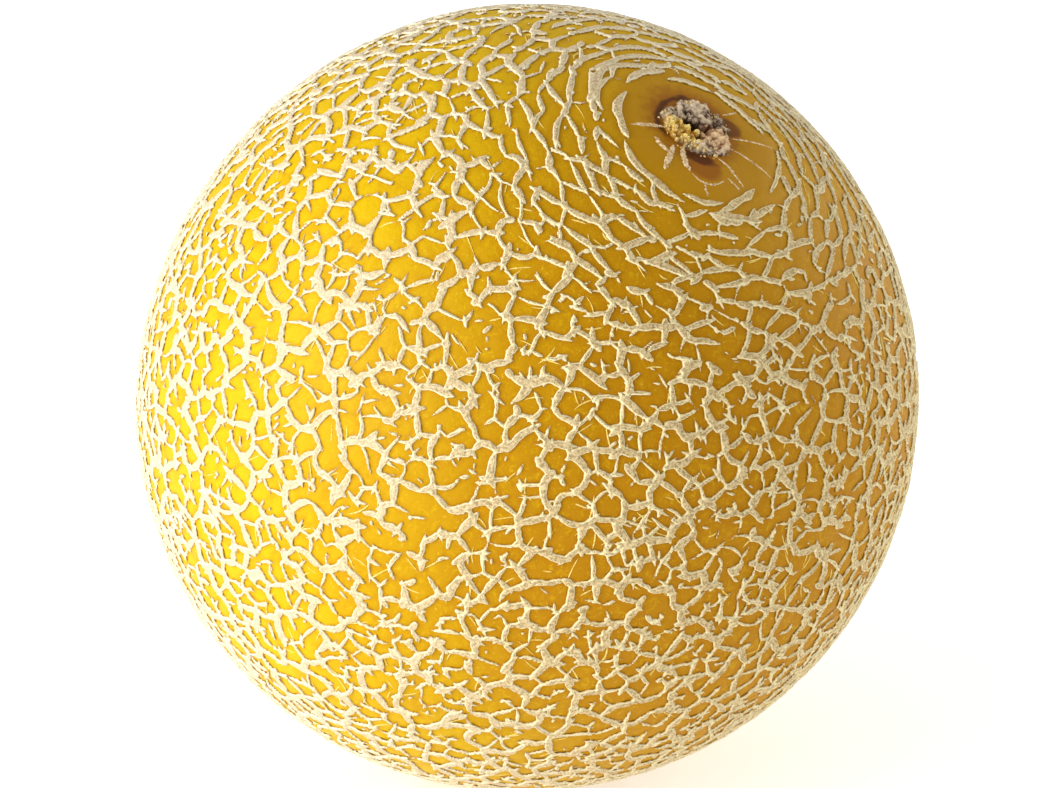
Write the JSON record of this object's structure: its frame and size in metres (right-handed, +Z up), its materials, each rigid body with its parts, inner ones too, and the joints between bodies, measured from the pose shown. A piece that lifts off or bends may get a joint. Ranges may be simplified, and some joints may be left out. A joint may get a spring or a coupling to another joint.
{
  "type": "galia melon",
  "caption": "Round netted melon, whole and picked, with a smooth yellow rind under raised cream cork netting and a dry stem scar; lies on its own small flat spot.",
  "frame": {"origin": "centre of the base of the bounding box, on the plane of the flat spot that the fruit rests on", "axes": "+Z up as the fruit lies; -Y faces the viewer; the stem end leans up, towards +X and a little towards -Y"},
  "size_m": [0.1392, 0.1386, 0.139],
  "materials": {
    "rind": "smooth waxy yellow skin, slightly glossy, faintly mottled from yellow to orange-ochre",
    "netting": "dry matt cream cork, finely granular, raised above the skin with paler edges",
    "stem_scar": "dry fibrous grey-brown cork with dark brown cracks"
  },
  "bodies": {
    "root": {"melon": "rind"}
  },
  "joints": []
}
